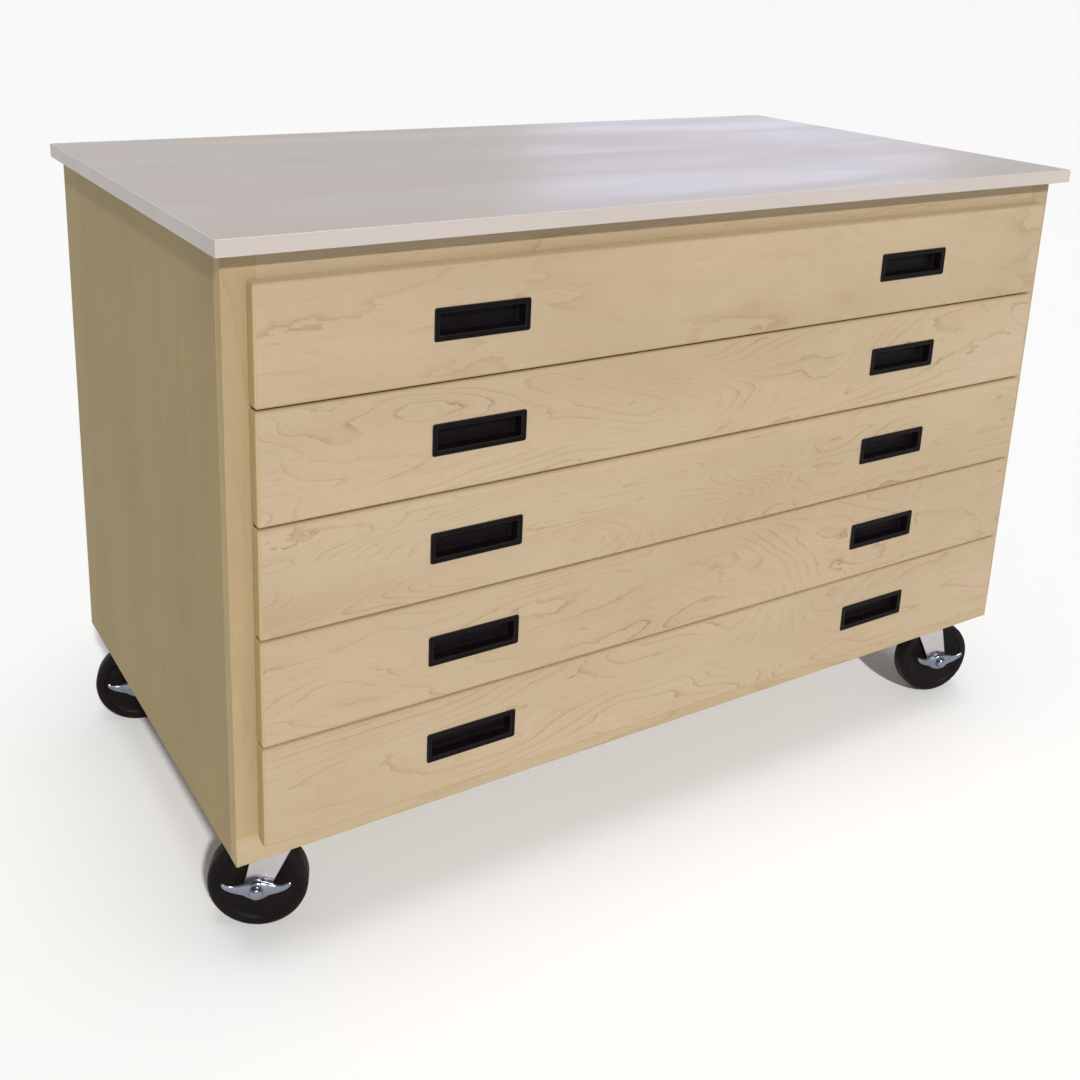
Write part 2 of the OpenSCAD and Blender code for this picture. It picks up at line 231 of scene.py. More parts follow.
def maple(name, grain, shift, light, dark, vein, rings, figure, contrast=0.5, sheen=0.46, gloss=0.3):
    """Lacquered maple: rings sets how many growth lines there are, figure how far they wander."""
    wood = Finish(name, Roughness=sheen, Specular_IOR_Level=gloss)
    place = wood.stretch((1, 1, 1), shift, GRAIN_TURNS[grain])
    swell = wood.noise(wood.stretch((1.5, 6.0, 6.0), source=place), detail=2.0, rough=0.42, warp=0.5)
    ripple = wood.noise(wood.stretch((11.0, 34.0, 34.0), source=place), detail=4.0, rough=0.62)
    across = wood.maths("MULTIPLY", wood.part(place, "Y"), rings)
    field = wood.maths("ADD", across, wood.maths("MULTIPLY", swell, figure))
    field = wood.maths("ADD", field, wood.maths("MULTIPLY", ripple, 0.7 + 0.02 * figure))
    late = wood.maths("POWER", wood.maths("FRACT", field), 9.0)
    fine = wood.maths("POWER", wood.maths("FRACT", wood.maths("MULTIPLY", field, 3.0)), 5.0)
    broken = wood.stretch((5.0, 22.0, 22.0), shift=(7, 3, 1), source=place)
    fade = wood.span(wood.noise(broken, detail=3.0), 0.38, 0.66)
    bold_lines = wood.maths("MULTIPLY", late, wood.maths("MULTIPLY", fade, contrast))
    faint_lines = wood.maths("MULTIPLY", fine, wood.maths("MULTIPLY", fade, 0.3 * contrast))
    lines = wood.maths("ADD", bold_lines, faint_lines)
    fibre = wood.noise(wood.stretch((6.0, 300.0, 300.0), source=place), detail=4.0, rough=0.62)
    fleck = wood.noise(wood.stretch((40.0, 560.0, 560.0), source=place), detail=1.0)
    cloud = wood.noise(wood.stretch((1.6, 5.5, 5.5), shift=(2, 9, 4), source=place), detail=3.0)
    blush = wood.noise(wood.stretch((3.0, 11.0, 11.0), shift=(8, 2, 5), source=place), detail=3.0, warp=0.6)
    curl = wood.noise(wood.stretch((26.0, 5.0, 5.0), shift=(4, 1, 8), source=place), detail=2.0)
    body = wood.mix(wood.span(cloud, 0.3, 0.7), light, dark)
    pink = (1.05 * light[0], 0.95 * light[1], 0.97 * light[2])
    # The colour of painted shade on undersides.
    painted_underside_shade = tuple(0.7 * share for share in vein)
    rubbed = tuple(1.1 * share for share in light)
    body = wood.mix(wood.span(blush, 0.48, 0.72, 0.0, 0.55), body, pink)
    body = wood.mix(wood.span(fibre, 0.3, 0.7, 0.0, 0.38), body, dark)
    body = wood.mix(wood.span(curl, 0.35, 0.7, 0.0, 0.16), body, light)
    body = wood.mix(lines, body, vein)
    body = wood.mix(wood.span(fleck, 0.66, 0.74, 0.0, 0.35), body, vein)
    # Downward faces and eases are painted darker and browner: painted shade, which also draws the seams
    # between the drawer fronts.
    body = wood.mix(wood.span(wood.facing_down(), 0.1, 0.75, 0.0, 0.8), body, painted_underside_shade)
    wood.colour(wood.mix(wood.maths("MULTIPLY", wood.edge_wear_and_highlight(), 0.3), body, rubbed))
    wood.roughness(wood.span(fibre, 0.2, 0.8, sheen - 0.07, sheen + 0.09))
    relief = wood.maths("SUBTRACT", fibre, wood.maths("MULTIPLY", late, 0.25))
    wood.bump(relief, 0.00012, 0.55)
    return wood.material


def ply_edge(name, across):
    """The edge of a plywood board, with its plies laid across one axis."""
    wood = Finish(name, Roughness=0.62)
    light, dark, glue_line = (0.44, 0.335, 0.205), (0.27, 0.18, 0.10), (0.16, 0.09, 0.045)
    ply_t = 1.5 * MM
    stack = wood.maths("MULTIPLY", wood.part(wood.object_coords, across), 1 / ply_t)
    ply = wood.maths("PINGPONG", stack, 1.0)
    glue = wood.span(wood.maths("ABSOLUTE", wood.maths("SUBTRACT", ply, 0.5)), 0.02, 0.1, 1.0, 0.0)
    squash = tuple(900.0 if axis == across else 60.0 for axis in "XYZ")
    pores = wood.noise(wood.stretch(squash), detail=3.0, rough=0.7)
    body = wood.mix(wood.span(ply, 0.35, 0.65), light, dark)
    body = wood.mix(wood.span(pores, 0.35, 0.75, 0.0, 0.5), body, tuple(0.6 * share for share in dark))
    wood.colour(wood.mix(wood.maths("MULTIPLY", glue, 0.6), body, glue_line))
    wood.bump(pores, 0.0003, 0.5)
    return wood.material


def rectangle(low, high):
    """An outline with four sharp corners."""
    return [Vector(p) for p in (low, (high[0], low[1]), high, (low[0], high[1]))]


def round_rectangle(middle, width, height, radius, steps=4, hole=False):
    """A rectangle with arcs for corners. A hole runs the other way round."""
    points = []
    for corner, (sx, sy) in enumerate(((1, 1), (-1, 1), (-1, -1), (1, -1))):
        for step in range(steps + 1):
            turn = (corner + step / steps) * QUARTER
            x = middle[0] + sx * (width / 2 - radius) + radius * math.cos(turn)
            y = middle[1] + sy * (height / 2 - radius) + radius * math.sin(turn)
            points.append(Vector((x, y)))
    return points[::-1] if hole else points


def drawn_in(loop, distance):
    """The loop moved into the material by a distance, with its corners kept sharp."""
    moved = []
    for i, point in enumerate(loop):
        before = (point - loop[i - 1]).normalized()
        after = (loop[(i + 1) % len(loop)] - point).normalized()
        sides = Vector((-before.y - after.y, before.x + after.x))
        moved.append(point + sides * (distance / max(0.3, 1 + before.dot(after))))
    return moved


def eased_levels(low, high, ease, steps):
    """Insets and heights of the rings that round a board's edges: (inset, height, nearness to the crest)."""
    levels = []
    for end, away, radius in ((low, 1, ease[0]), (high, -1, ease[1])):
        rounds = []
        for step in range(steps + 1 if radius else 1):
            turn = step / steps * QUARTER
            drop = radius * MM * (1 - math.cos(turn))
            rounds.append((radius * MM * (1 - math.sin(turn)), end + away * drop, math.sin(2 * turn)))
        levels += rounds if away > 0 else rounds[::-1]
    return levels


def ring_of_points(shell, loop, axes, height, worn):
    """Adds a loop to a shell, on the first two axes and at a height on the third."""
    crest = shell.verts.layers.float.get("edge") or shell.verts.layers.float.new("edge")
    ring = []
    for a, b in loop:
        spot = [0.0, 0.0, 0.0]
        for axis, value in zip(axes, (a, b, height)):
            spot["XYZ".index(axis)] = value
        vertex = shell.verts.new(spot)
        vertex[crest] = worn
        ring.append(vertex)
    return ring


def slab(loops, low, high, axes, ease=(0.5, 0.5), steps=2):
    """A flat board with eased edges. Loops lie on the first two axes; low to high is the third."""
    shell = bmesh.new()
    for loop in loops:
        rings = [
            ring_of_points(shell, drawn_in(loop, inset), axes, height, worn)
            for inset, height, worn in eased_levels(low, high, ease, steps)
        ]
        flat_from = rings[steps if ease[0] else 0]
        for lower, upper in zip(rings, rings[1:]):
            for i in range(len(lower)):
                wall = shell.faces.new((lower[i - 1], lower[i], upper[i], upper[i - 1]))
                wall.material_index = 1
                wall.smooth = lower is not flat_from  # The straight wall between two eases stays flat.
        if len(loops) == 1:
            shell.faces.new(rings[0])
            shell.faces.new(rings[-1])
    if len(loops) > 1:
        height_axis = "XYZ".index(axes[2])
        for end in (low, high):
            rim = [
                edge for edge in shell.edges
                if edge.is_boundary and all(abs(v.co[height_axis] - end) < 1e-7 for v in edge.verts)
            ]
            bmesh.ops.triangle_fill(shell, edges=rim, use_beauty=True)
    bmesh.ops.recalc_face_normals(shell, faces=shell.faces)
    return shell


def piece(name, shell, body, materials, node, place=None):
    """Makes a mesh into a finished piece that rides on a body of the frame."""
    mesh = bpy.data.meshes.new(name)
    if place is not None:
        shell.transform(place)
        if place.determinant() < 0:
            bmesh.ops.reverse_faces(shell, faces=shell.faces)
    shell.to_mesh(mesh)
    shell.free()
    for material in materials:
        mesh.materials.append(material)
    made = bpy.data.objects.new(name, mesh)
    scene.collection.objects.link(made)
    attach(made, body)
    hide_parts(node)
    return made


# The side panels are the same maple as the fronts but painted darker and more olive: painted shade of a side
# turned away from the light.
side_maple_painted_shade = maple(
    "side_maple_painted_shade", "Z", (0.3, 0.2, 5.0),
    (0.325, 0.244, 0.105), (0.278, 0.206, 0.084), (0.185, 0.125, 0.047),
    rings=90.0, figure=8.0, contrast=0.7, sheen=0.55, gloss=0.22,
)
ply_x = ply_edge("plies_across_x", "X")
for side in ("left", "right"):
    low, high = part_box("side_panel_" + side)
    board = slab([rectangle((low.y, low.z), (high.y, high.z))], low.x, high.x, "YZX")
    piece("side_board_" + side, board, "cabinet", [side_maple_painted_shade, ply_x], "side_panel_" + side)


# --- face frame ----------------------------------------------------------------
# Four straight lengths of solid maple, glued and nailed to the front of the
# carcass: a bottom rail right across, two stiles on it, and a top rail between.
# Their narrow edges show a lighter, closer grain than their faces.

frame_vein = (0.24, 0.165, 0.085)
stile_maple = maple(
    "stile_maple", "Z", (4.1, 0.7, 2.0), (0.385, 0.294, 0.165), (0.33, 0.245, 0.13), frame_vein,
    rings=170.0, figure=7.0,
)
rail_maple = maple(
    "rail_maple", "X", (1.7, 6.3, 3.0), (0.41, 0.32, 0.205), (0.355, 0.27, 0.165), frame_vein,
    rings=190.0, figure=8.0,
)
band_light = (0.44, 0.34, 0.175)
band_dark = (0.385, 0.29, 0.14)
stile_side = maple(
    "stile_side_maple", "Z", (2.4, 0.1, 7.0), band_light, band_dark, frame_vein,
    rings=150.0, figure=7.0, sheen=0.6, gloss=0.15,
)

low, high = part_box("stiles")
stile_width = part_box("top_rail")[0].x - low.x
for side, left in (("left", low.x), ("right", high.x - stile_width)):
    board = slab([rectangle((left, low.z), (left + stile_width, high.z))], low.y, high.y, "XZY", (0.4, 0.8))
    piece("stile_board_" + side, board, "cabinet", [stile_maple, stile_side], "stiles")
for rail in ("top_rail", "bottom_rail"):
    low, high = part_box(rail)
    board = slab([rectangle((low.x, low.z), (high.x, high.z))], low.y, high.y, "XZY", (0.8, 0.4))
    piece(rail + "_board", board, "cabinet", [rail_maple, stile_side], rail)


# --- back, bottom, stretcher and cleats ----------------------------------------
# Birch plywood: a thin back let in between the sides and screwed on, a thick
# bottom that takes the casters, and the hidden pieces that carry the slides.

birch = ((0.50, 0.40, 0.265), (0.44, 0.345, 0.22), (0.32, 0.235, 0.14))
back_birch = maple("back_birch", "X", (2.0, 3.0, 9.0), *birch, rings=26.0, figure=26.0, sheen=0.55)
flat_birch = maple("flat_birch", "X", (8.0, 1.0, 2.0), *birch, rings=24.0, figure=24.0, sheen=0.55)
ply_y = ply_edge("plies_across_y", "Y")
ply_z = ply_edge("plies_across_z", "Z")
side_gap = 0.3 * MM

low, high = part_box("back_panel")
back_outline = rectangle((low.x + side_gap, low.z), (high.x - side_gap, high.z))
board = slab([back_outline], low.y, high.y, "XZY", (0.4, 0.4))
piece("back_board", board, "cabinet", [back_birch, ply_y], "back_panel")

low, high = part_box("bottom_panel")
board = slab([rectangle((low.x, low.y), (high.x, high.y))], low.z, high.z, "XYZ", (0.3, 0.3))
piece("bottom_board", board, "cabinet", [flat_birch, ply_z], "bottom_panel")

for node in ("rear_stretcher", "slide_cleats"):
    carried = frame["nodes"][node]
    carried.data.materials.clear()
    carried.data.materials.append(back_birch)


# --- worktop -------------------------------------------------------------------
# A plywood core with a warm grey laminate glued on top and along its four
# edges. The laminate has a fine pebbled face, and its arris is filed back.

laminate = Finish("worktop_laminate_face", Roughness=0.40)
mottle = laminate.noise(laminate.stretch(3.0), detail=5.0, rough=0.6)
speck = laminate.noise(laminate.stretch(420.0), detail=2.0)
pebble = laminate.noise(laminate.stretch(1500.0), detail=2.0, rough=0.6)
wipe = laminate.noise(laminate.stretch((1.4, 9.0, 4.0), turn=(0, 0, 0.5)), detail=4.0, warp=0.8)
tone = laminate.mix(laminate.span(mottle, 0.3, 0.7), (0.465, 0.414, 0.383), (0.495, 0.443, 0.414))
tone = laminate.mix(laminate.span(speck, 0.55, 0.75, 0.0, 0.22), tone, (0.37, 0.33, 0.30))
# Its edges and underside are painted a little darker than its top: painted shade.
painted_edge_shade = laminate.mix(0.2, tone, (0.25, 0.22, 0.20))
tone = laminate.mix(laminate.span(laminate.facing_down(), -0.8, -0.2), tone, painted_edge_shade)
# Near the crest of the filed arris the colour is lightened: a painted highlight line.
laminate.colour(laminate.mix(laminate.maths("MULTIPLY", laminate.edge_wear_and_highlight(), 0.6), tone, (0.80, 0.77, 0.74)))
laminate.roughness(laminate.span(wipe, 0.3, 0.7, 0.33, 0.46))
laminate.bump(pebble, 0.00006, 0.5)

core = frame["nodes"]["worktop_core"]
core.data.materials.clear()
core.data.materials.append(flat_birch)

low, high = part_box("worktop_laminate")
core_low, core_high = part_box("worktop_core")
sheet_outline = round_rectangle((0, 0), high.x - low.x, high.y - low.y, 1.5 * MM)
board = slab([sheet_outline], core_high.z, high.z, "XYZ", (0.0, 1.1))
piece("laminate_sheet", board, "cabinet", [laminate.material] * 2, "worktop_laminate")
joint_gap = 0.05 * MM
for name, near, far in (
    ("front", (low.x, low.y), (high.x, core_low.y)),
    ("back", (low.x, core_high.y), (high.x, high.y)),
    ("left", (low.x, core_low.y), (core_low.x, core_high.y)),
    ("right", (core_high.x, core_low.y), (high.x, core_high.y)),
):
    board = slab([rectangle(near, far)], low.z, core_high.z - joint_gap, "XYZ", (0.25, 0.15))
    piece("laminate_edge_" + name, board, "cabinet", [laminate.material] * 2, "worktop_laminate")


# --- drawer fronts -------------------------------------------------------------
# Veneered fronts that lie over the frame, with maple bands round their edges, a
# rounded front arris and two cut-outs for the pulls. The three in the middle are
# cut from one run of veneer.

veneer = ((0.422, 0.33, 0.222), (0.355, 0.27, 0.168), (0.235, 0.146, 0.06))
top_veneer = maple(
    "front_maple_top", "X", (0.0, 2.2, 1.0), *veneer, rings=125.0, figure=4.5, contrast=0.45,
)
middle_veneer = maple(
    "front_maple_middle", "X", (5.2, 0.4, 6.0), *veneer, rings=62.0, figure=42.0, contrast=0.8,
)
bottom_veneer = maple(
    "front_maple_bottom", "X", (9.4, 4.1, 3.0), *veneer, rings=95.0, figure=26.0, contrast=0.7,
)
veneers = {1: top_veneer, 2: middle_veneer, 3: middle_veneer, 4: middle_veneer, 5: bottom_veneer}
veneer_dark, veneer_vein = veneer[1:]
# Its orange vein colour sets the painted shade on the fronts' undersides and in the seams, besides its faint
# grain lines.
under_band = maple(
    "front_edge_band", "X", (3.3, 5.2, 4.0), veneer_dark, veneer_dark, (0.56, 0.35, 0.09),
    rings=150.0, figure=7.0, contrast=0.2, gloss=0.2,
)
# The flat tops of the fronts are painted lighter than the faces: painted light, making up for the weaker
# light that falls on a top.
painted_light_top_band = maple(
    "front_painted_light_top_band", "X", (2.3, 8.2, 3.0), (0.55, 0.44, 0.29), (0.48, 0.38, 0.24), veneer_vein,
    rings=150.0, figure=7.0, gloss=0.2,
)
end_band = maple(
    "front_end_band", "Z", (1.3, 4.2, 9.0), band_light, band_dark, veneer_vein,
    rings=150.0, figure=7.0, gloss=0.2,
)
ROWS = range(1, 6)
pull_w = 128 * MM
rim_over = 5.1 * MM
for n in ROWS:
    low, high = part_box(f"drawer_{n}_front")
    pull_low, pull_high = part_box(f"drawer_{n}_pulls")
    pull_z = (pull_low.z + pull_high.z) / 2
    pull_h = pull_high.z - pull_low.z
    outline = round_rectangle((0, (low.z + high.z) / 2), high.x - low.x, high.z - low.z, 3.2 * MM)
    holes = [
        round_rectangle((x, pull_z), pull_w - 2 * rim_over, pull_h - 2 * rim_over, 2.9 * MM, hole=True)
        for x in (pull_low.x + pull_w / 2, pull_high.x - pull_w / 2)
    ]
    board = slab([outline, *holes], low.y, high.y, "XZY", (2.6, 0.4), steps=4)
    bands = [veneers[n], under_band, end_band, painted_light_top_band]
    # End walls get the end band; flat tops get the band of painted light.
    for wall in board.faces:
        if wall.material_index == 1 and abs(wall.normal.x) > 0.5:
            wall.material_index = bands.index(end_band)
        elif wall.normal.z > 0.95:
            wall.material_index = bands.index(painted_light_top_band)
    piece(f"drawer_{n}_face", board, f"drawer_{n}", bands, f"drawer_{n}_front")


# --- drawer boxes ---------------------------------------------------------------
# Shallow trays of 12 mm birch plywood with finger joints at the corners, and a
# thin bottom held in grooves. They are lacquered, with the plies showing on top.

box_birch_y = maple("box_birch_side", "Y", (3.0, 8.0, 1.0), *birch, rings=50.0, figure=14.0)
box_birch_x = maple("box_birch_end", "X", (6.0, 5.0, 2.0), *birch, rings=50.0, figure=14.0)
board_t = 12 * MM
fingers = 7


def fingered(low, high, first):
    """A board's outline, with every other finger cut away at both ends, from the first on."""
    step = (high[1] - low[1]) / fingers
    right_end = []
    left_end = []
    for i in range(fingers):
        cut = board_t if i % 2 == first else 0.0
        bottom, top = low[1] + i * step, low[1] + (i + 1) * step
        right_end += [Vector((high[0] - cut, bottom)), Vector((high[0] - cut, top))]
        left_end += [Vector((low[0] + cut, bottom)), Vector((low[0] + cut, top))]
    return right_end + left_end[::-1]


for n in ROWS:
    drawer = f"drawer_{n}"
    low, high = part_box(drawer + "_box")
    side_outline = fingered((low.y, low.z), (high.y, high.z), 1)
    end_outline = fingered((low.x, low.z), (high.x, high.z), 0)
    for name, near in (("left", low.x), ("right", high.x - board_t)):
        board = slab([side_outline], near, near + board_t, "YZX", (0.35, 0.35))
        piece(f"{drawer}_side_{name}", board, drawer, [box_birch_y, ply_x], drawer + "_box")
    for name, near in (("front", low.y), ("back", high.y - board_t)):
        board = slab([end_outline], near, near + board_t, "XZY", (0.35, 0.35))
        piece(f"{drawer}_end_{name}", board, drawer, [box_birch_x, ply_y], drawer + "_box")
    low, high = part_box(drawer + "_bottom")
    board = slab([rectangle((low.x, low.y), (high.x, high.y))], low.z, high.z, "XYZ", (0.2, 0.2))
    piece(drawer + "_tray", board, drawer, [flat_birch, ply_z], drawer + "_bottom")


# --- flush pulls ----------------------------------------------------------------
# Moulded black plastic finger cups, pushed into the cut-outs: a thin rounded rim
# that hides the edge of the hole, and a cup with draft and rounded inside corners.

plastic = Finish("pull_black", Roughness=0.42, Specular_IOR_Level=0.05)
grain = plastic.noise(plastic.stretch(1900.0))
haze = plastic.noise(plastic.stretch(60.0), detail=4.0, rough=0.6)
ink = plastic.mix(plastic.span(haze, 0.3, 0.7), (0.004, 0.0028, 0.0036), (0.0068, 0.005, 0.006))
# The rim's crest and the cup's lip are lightened: painted highlight lines, with a little rubbed wear.
plastic.colour(plastic.mix(plastic.maths("MULTIPLY", plastic.edge_wear_and_highlight(), 0.5), ink, (0.03, 0.027, 0.028)))
plastic.roughness(plastic.span(haze, 0.3, 0.7, 0.3, 0.44))
plastic.bump(grain, 0.00004, 0.5)


def skinned(shell, rings):
    """Closes a shell over a run of rings with the same number of points each."""
    for lower, upper in zip(rings, rings[1:]):
        for i in range(len(lower)):
            shell.faces.new((lower[i - 1], lower[i], upper[i], upper[i - 1])).smooth = True
    shell.faces.new(rings[0])
    shell.faces.new(rings[-1])
    bmesh.ops.recalc_face_normals(shell, faces=shell.faces)
    return shell


def pull_cup(middle, width, height, face, back):
    """A pull, from the back of its cup, out round the rim and in to the cup's floor."""
    cup_depth = (back - face) / MM
    # (how far outside the rim's outline, corner radius, depth behind the rim's face, how far the edge is
    # lightened)
    profile = [
        (-6.5, 1.8, cup_depth, 0), (-5.7, 2.4, cup_depth - 0.6, 0), (-5.5, 2.5, 1.7, 0), (-0.1, 3.0, 1.6, 0),
        (0.0, 3.0, 1.0, 0.3), (-0.25, 2.9, 0.35, 1.0), (-0.9, 2.7, 0.05, 0.5), (-1.8, 2.5, 0.0, 0),
        (-5.4, 2.2, 0.1, 0), (-6.2, 2.1, 0.3, 0.7), (-6.7, 2.0, 1.0, 1.0), (-6.9, 2.0, 2.0, 0),
        (-7.7, 2.0, 10.5, 0), (-8.3, 1.9, 13.2, 0), (-9.6, 1.7, 14.6, 0), (-11.5, 1.4, 15.0, 0),
    ]
    shell = bmesh.new()
    rings = []
    for outside, radius, depth, worn in profile:
        grown = 2 * outside * MM
        loop = round_rectangle(middle, width + grown, height + grown, radius * MM, steps=5)
        rings.append(ring_of_points(shell, loop, "XZY", face + depth * MM, worn))
    return skinned(shell, rings)


for n in ROWS:
    drawer = f"drawer_{n}"
    low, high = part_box(drawer + "_pulls")
    for name, x in (("left", low.x + pull_w / 2), ("right", high.x - pull_w / 2)):
        cup = pull_cup((x, (low.z + high.z) / 2), pull_w, high.z - low.z, low.y, high.y)
        piece(f"{drawer}_pull_{name}", cup, drawer, [plastic.material], drawer + "_pulls")


# --- drawer slides ---------------------------------------------------------------
# Zinc-plated ball-bearing slides in three rolled steel members: one on the
# cabinet, one on the drawer, and one that runs between them at half the speed.


def plated(name, base, rough, brush, patches=(0.50, 0.48, 0.42)):
    """Zinc-plated steel: a faint crystal pattern, rolling marks and small dull patches; on the polished lever
    the patches are painted dark reflections.
    """
    metal = Finish(name, Metallic=1.0, Roughness=rough)
    crystal = metal.noise(metal.stretch(160.0), detail=3.0, rough=0.7)
    marks = metal.noise(metal.stretch(brush), detail=3.0)
    dull = metal.noise(metal.stretch(18.0), detail=4.0, warp=0.6)
    body = metal.mix(metal.span(crystal, 0.3, 0.7), base, tuple(0.84 * share for share in base))
    body = metal.mix(metal.span(dull, 0.5, 0.75, 0.0, 0.4), body, patches)
    metal.colour(metal.mix(metal.maths("MULTIPLY", metal.edge_wear_and_highlight(), 0.4), body, (0.82, 0.82, 0.83)))
    metal.roughness(metal.span(metal.maths("ADD", marks, dull), 0.6, 1.4, rough - 0.08, rough + 0.14))
    metal.bump(marks, 0.00005, 0.4)
    return metal.material


slide_zinc = plated("slide_zinc", (0.66, 0.67, 0.69), 0.32, (900.0, 12.0, 900.0))
steel_t = 1.2
# Upper halves of the three sections' centre lines: (distance from the web's face, height), in mm.
cabinet_line = [(9.1, 18.9), (9.1, 20.8), (8.2, 21.9), (6.3, 21.3), (4.4, 21.9), (1.8, 21.9), (0.6, 20.7)]
middle_line = [
    (6.3, 14.4), (6.3, 16.2), (5.8, 17.1), (4.3, 16.4), (2.8, 17.1), (1.5, 17.1), (0.6, 16.2),
    (0.6, 8.0), (1.0, 7.0),
]
drawer_line = [
    (8.1, 10.2), (8.1, 11.6), (7.6, 12.3), (6.4, 11.5), (5.2, 12.3), (1.6, 12.3), (0.6, 11.4),
    (0.6, 6.0), (1.6, 4.8),
]


def rolled(half_line, x_web, inward, z):
    """A rolled strip's section: half a centre line with its mirror image, thickened to the steel's gauge."""
    line = [Vector(p) for p in half_line] + [Vector((a, -b)) for a, b in half_line[::-1]]
    sides = [[], []]
    for i, point in enumerate(line):
        before = (point - line[i - 1]).normalized() if i else (line[1] - point).normalized()
        after = (line[i + 1] - point).normalized() if i + 1 < len(line) else before
        normal = Vector((-before.y - after.y, before.x + after.x)) / (1 + before.dot(after))
        for side, sign in zip(sides, (0.5, -0.5)):
            side.append(point + normal * steel_t * sign)
    outline = [Vector((x_web + inward * p.x * MM, z + p.y * MM)) for p in sides[0] + sides[1][::-1]]
    area = sum(p.x * q.y - q.x * p.y for p, q in zip(outline, outline[1:] + outline[:1]))
    return outline if area > 0 else outline[::-1]


def copies_tree():
    """A node tree that sets a copy of one shape on each point, and spins each copy by its own amount."""
    tree = bpy.data.node_groups.new("copies_on_points", "GeometryNodeTree")
    for label, kind in (("Points", "Geometry"), ("Shape", "Object"), ("Lean", "Vector"), ("Spin", "Float"),
                        ("Seed", "Int"), ("Finish", "Material")):
        tree.interface.new_socket(label, in_out="INPUT", socket_type="NodeSocket" + kind)
    tree.interface.new_socket("Copies", in_out="OUTPUT", socket_type="NodeSocketGeometry")
    given = tree.nodes.new("NodeGroupInput")
    result = tree.nodes.new("NodeGroupOutput")
    shape = tree.nodes.new("GeometryNodeObjectInfo")
    copies = tree.nodes.new("GeometryNodeInstanceOnPoints")
    amount = tree.nodes.new("FunctionNodeRandomValue")
    spin = tree.nodes.new("ShaderNodeCombineXYZ")
    turned_copies = tree.nodes.new("GeometryNodeRotateInstances")
    solid = tree.nodes.new("GeometryNodeRealizeInstances")
    finish = tree.nodes.new("GeometryNodeSetMaterial")
    for giver, output, taker, socket in (
        (given, "Points", copies, "Points"), (given, "Shape", shape, "Object"),
        (shape, "Geometry", copies, "Instance"), (given, "Lean", copies, "Rotation"),
        (given, "Spin", amount, "Max"), (given, "Seed", amount, "Seed"), (amount, "Value", spin, "Z"),
        (spin, "Vector", turned_copies, "Rotation"), (copies, "Instances", turned_copies, "Instances"),
        (turned_copies, "Instances", solid, "Geometry"), (solid, "Geometry", finish, "Geometry"),
        (given, "Finish", finish, "Material"), (finish, "Geometry", result, "Copies"),
    ):
        tree.links.new(giver.outputs[output], taker.inputs[socket])
    return tree


copies_on_points = copies_tree()


def small_shape(name, shell):
    """A screw, ball or bolt that the node tree copies. It is kept out of the finished cabinet."""
    mesh = bpy.data.meshes.new(name)
    shell.to_mesh(mesh)
    shell.free()
    made = bpy.data.objects.new(name, mesh)
    scene.collection.objects.link(made)
    made.hide_render = True
    return made


def copies(name, places, shape, lean, spin, material, body, slot, node, seed=7):
    """Sets copies of a shape on places, as one finished piece. Spin is the most that a copy may be turned."""
    spots = bpy.data.meshes.new(name + "_spots")
    spots.from_pydata([tuple(place) for place in places], [], [])
    maker = bpy.data.objects.new(name + "_maker", spots)
    scene.collection.objects.link(maker)
    modifier = maker.modifiers.new("copies", "NODES")
    modifier.node_group = copies_on_points
    values = {"Shape": shape, "Lean": lean, "Spin": spin, "Seed": seed, "Finish": material}
    for socket in copies_on_points.interface.items_tree:
        if socket.in_out == "INPUT" and socket.name in values:
            modifier[socket.identifier] = values[socket.name]
    graph = bpy.context.evaluated_depsgraph_get()
    mesh = bpy.data.meshes.new_from_object(maker.evaluated_get(graph), depsgraph=graph)
    bpy.data.objects.remove(maker)
    made = bpy.data.objects.new(name, mesh)
    scene.collection.objects.link(made)
    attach(made, body)
    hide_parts(node)


def around(radius, count):
    """Points at even steps round a circle."""
    turns = [i / count * 2 * math.pi for i in range(count)]
    return [Vector((radius * math.cos(turn), radius * math.sin(turn))) for turn in turns]


def together(*shells):
    """Joins several shells into one mesh."""
    first = shells[0]
    for shell in shells[1:]:
        mesh = bpy.data.meshes.new("part")
        shell.to_mesh(mesh)
        shell.free()
        first.from_mesh(mesh)
        bpy.data.meshes.remove(mesh)
    return first


def screw_head(radius, height, cross):
    """A pan head that faces +Z, with a cross cut into it."""
    arm = cross * 0.28
    cross_cut = [
        Vector(corner) for corner in (
            (arm, -arm), (arm, -cross), (-arm, -cross), (-arm, -arm), (-cross, -arm), (-cross, arm),
            (-arm, arm), (-arm, cross), (arm, cross), (arm, arm), (cross, arm), (cross, -arm),
        )
    ]
    dome = 0.5 * height / MM
    head = slab([around(radius, 16), cross_cut], 0.3 * height, height, "XYZ", (0, dome), steps=3)
    seat = slab([around(radius, 16)], 0, 0.32 * height, "XYZ", (0, 0))
    return together(head, seat)


slide_screw = small_shape("slide_screw", screw_head(3.4 * MM, 1.5 * MM, 1.9 * MM))
ball_shell = bmesh.new()
bmesh.ops.create_uvsphere(ball_shell, u_segments=8, v_segments=6, radius=1.8 * MM)
for face in ball_shell.faces:
    face.smooth = True
ball = small_shape("bearing_ball", ball_shell)
ball_steel = plated("ball_steel", (0.75, 0.76, 0.78), 0.12, (300.0, 300.0, 300.0))

